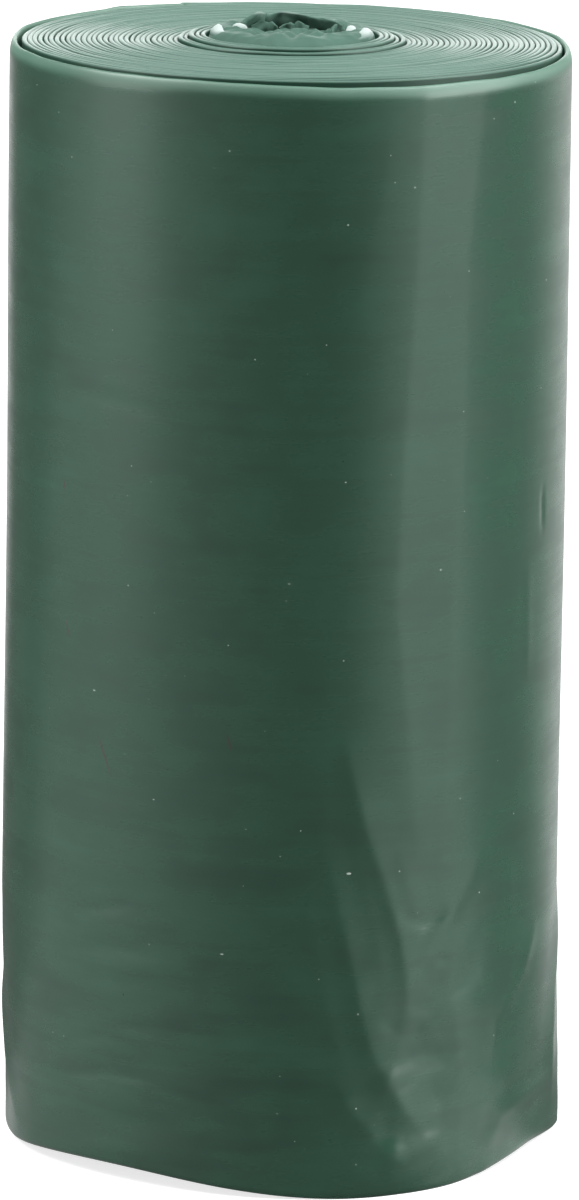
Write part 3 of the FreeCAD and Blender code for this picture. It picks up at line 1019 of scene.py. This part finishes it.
# %% The sweep and the world
straight_back = (0.86, 0.95)        # cosine of the angle from straight back, dark to white
low_down = (0.42, 0.22)             # height of a direction, dark to white
lamps_reach = (0.20, 0.80)          # metres from the roll, full light to none
sweep_grey = 0.5
dark_front = 0.14                   # how much the sweep glows for glossy rays in front
pale_sides = (                      # azimuth from, to, and how much paler the sweep grows
    (8.0, -74.0, 0.43), (-95.0, -122.0, -0.38),
    (20.0, 62.0, 0.78), (68.0, 88.0, -0.66), (108.0, 146.0, 0.65))

floor_mesh = bpy.data.meshes.new("floor")
floor_mesh.from_pydata([(-3, -3, 0), (3, -3, 0), (3, 3, 0), (-3, 3, 0)], [], [(0, 1, 2, 3)])
floor = bpy.data.objects.new("floor", floor_mesh)
bpy.context.collection.objects.link(floor)

floor_paint = bpy.data.materials.new("floor_paint")
floor_paint.use_nodes = True
floor_paint.node_tree.nodes.clear()
t = Tree(floor_paint.node_tree)
path = t.add("ShaderNodeLightPath").outputs
spot = t.add("ShaderNodeTexCoord").outputs["Object"]
away = t.vector("NORMALIZE", spot)
far_out = t.step(t.vector("LENGTH", spot), *lamps_reach, 0.75, 1.0)
behind = t.step(t.apart(away)["Y"], *straight_back)
azimuth = t.math("ARCTAN2", t.apart(away)["X"], t.times(t.apart(away)["Y"], -1.0))
beside = dark_front
for start, end, more in pale_sides:
    beside = t.plus(beside, t.step(azimuth, math.radians(start), math.radians(end), 0.0, more))
behind = t.times(path["Is Glossy Ray"], t.math("MAXIMUM", behind, beside))
plain = t.times(t.minus(1.0, path["Is Glossy Ray"]), sweep_grey)
matt = t.add("ShaderNodeBsdfDiffuse", {"Color": plain}).outputs[0]
seen = t.plus(t.times(path["Is Camera Ray"], far_out), behind)
glow = t.add("ShaderNodeEmission", {"Strength": seen}).outputs[0]
t.add("ShaderNodeOutputMaterial", {
    "Surface": t.add("ShaderNodeAddShader", {0: matt, 1: glow}).outputs[0]})
floor_mesh.materials.append(floor_paint)

world = bpy.data.worlds.new("studio")
bpy.context.scene.world = world
world.use_nodes = True
world.node_tree.nodes.clear()
t = Tree(world.node_tree)
path = t.add("ShaderNodeLightPath").outputs
toward = t.add("ShaderNodeTexCoord").outputs["Generated"]
level = t.vector("MULTIPLY", toward, (1.0, 1.0, 0.0))
behind = t.step(t.apart(t.vector("NORMALIZE", level))["Y"], *straight_back)
behind = t.times(behind, t.step(t.apart(toward)["Z"], *low_down))
bright = t.times(path["Is Glossy Ray"], behind)
bright = t.math("MAXIMUM", bright, path["Is Camera Ray"])
t.add("ShaderNodeOutputWorld", {
    "Surface": t.add("ShaderNodeBackground", {"Strength": bright}).outputs[0]})
print("sweep and world ready")

# %% [markdown]
# One high and one low soft box stand at either side. The high ones light the
# upper end and graze the wall, the low ones light the wall and leave its middle
# darker. A weaker one fills the back right. One hangs above the front for the
# upper end, and a panel far behind lights it at a low angle.

# %% Soft boxes
soft_boxes = (      # name, azimuth, distance, height, width, tall, watts, height it is aimed at
    ("left_high", -85.0, 0.35, 0.45, 0.30, 0.30, 3.0, 0.03),
    ("right_high", 88.0, 0.35, 0.45, 0.30, 0.30, 3.0, 0.03),
    ("left_low", -68.0, 0.60, 0.20, 0.50, 0.40, 1.5, 0.03),
    ("right_low", 78.0, 0.60, 0.20, 0.19, 0.40, 2.6, 0.03),
    ("right_back", 125.0, 0.60, 0.20, 0.25, 0.40, 0.4, 0.03),
    ("over_front", 0.0, 0.25, 0.62, 0.50, 0.40, 1.3, 0.03),
    ("back_panel", 180.0, 0.80, 0.19, 0.50, 0.36, 2.7, 0.19))

for name, azimuth, distance, height, width, tall, power, aim in soft_boxes:
    data = bpy.data.lights.new(name, "AREA")
    data.shape = "RECTANGLE"
    data.size, data.size_y, data.energy = width, tall, power
    lamp = bpy.data.objects.new(name, data)
    bpy.context.collection.objects.link(lamp)
    angle = math.radians(azimuth)
    lamp.location = (distance * math.sin(angle), -distance * math.cos(angle), height)
    lamp.rotation_euler = (Vector((0, 0, aim)) - lamp.location).to_track_quat("-Z", "Z").to_euler()
    lamp.visible_camera = False

# %% [markdown]
# ## Camera
#
# A long lens from close to half a metre, a little above the roll, and turned by
# less than a degree, as a hand-held camera is.

# %% Camera
camera_data = bpy.data.cameras.new("camera")
camera_data.sensor_fit = "VERTICAL"
camera_data.sensor_height = 36.0
camera_data.lens = 245.5
camera_data.clip_start = 0.01
camera = bpy.data.objects.new("camera", camera_data)
bpy.context.collection.objects.link(camera)
bpy.context.scene.camera = camera
camera.location = (0.0, -0.440, 0.12565)
looks_at = Vector((0.00038, 0.0, 0.02974))      # just right of the axis, half way up
hand_turn = Matrix.Rotation(math.radians(0.838), 3, "Z")
straight = (looks_at - camera.location).to_track_quat("-Z", "Y").to_matrix()
camera.rotation_euler = (straight @ hand_turn).to_euler()
bpy.context.scene.view_settings.view_transform = "Standard"
print("camera at", tuple(round(v, 4) for v in camera.location))
